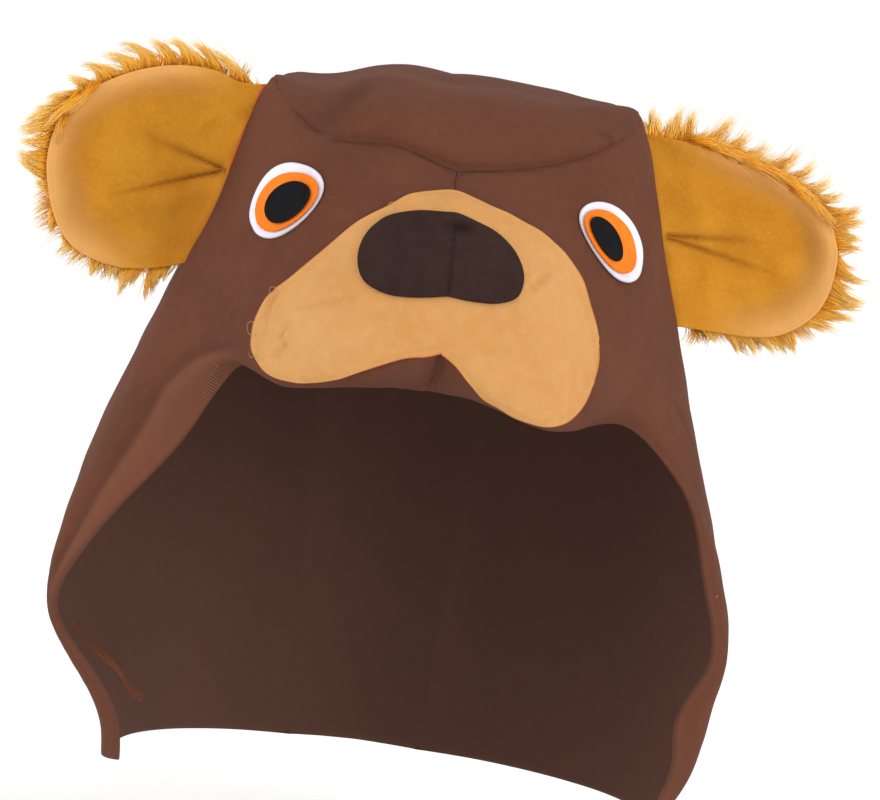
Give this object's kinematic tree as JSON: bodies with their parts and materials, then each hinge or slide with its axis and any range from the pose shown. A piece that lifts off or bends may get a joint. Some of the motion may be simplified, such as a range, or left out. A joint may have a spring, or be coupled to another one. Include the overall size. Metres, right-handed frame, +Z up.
{
  "type": "bear face costume hood",
  "caption": "Open-faced fleece costume hood with a bear's eyes, nose and muzzle on the brow and round fur-edged ears at the sides.",
  "frame": {"origin": "inner top of the hood, where it sits on the crown of the head", "axes": "+Z up, the face opening towards -Y, +X towards the wearer's left, along the spread of the ears"},
  "size_m": [0.3742, 0.2728, 0.3083],
  "materials": {
    "brown_fleece": "soft short-pile fleece, matt",
    "tan_fleece": "soft fleece, matt",
    "nose_fleece": "soft fleece, matt",
    "eye_white": "felt, matt",
    "eye_orange": "felt, matt",
    "eye_black": "felt, matt",
    "gold_velour": "short velour pile, matt",
    "gold_fur": "long ragged pile with pale tips"
  },
  "bodies": {
    "root": {"side_panel_left": "brown_fleece", "side_panel_right": "brown_fleece", "crown_panel": "brown_fleece", "muzzle_patch": "tan_fleece", "nose_patch": "nose_fleece", "eye_white_left": "eye_white", "eye_iris_left": "eye_orange", "eye_pupil_left": "eye_black", "ear_front_left": "gold_velour", "ear_fur_left": "gold_fur", "eye_white_right": "eye_white", "eye_iris_right": "eye_orange", "eye_pupil_right": "eye_black", "ear_front_right": "gold_velour", "ear_fur_right": "gold_fur"}
  },
  "joints": []
}
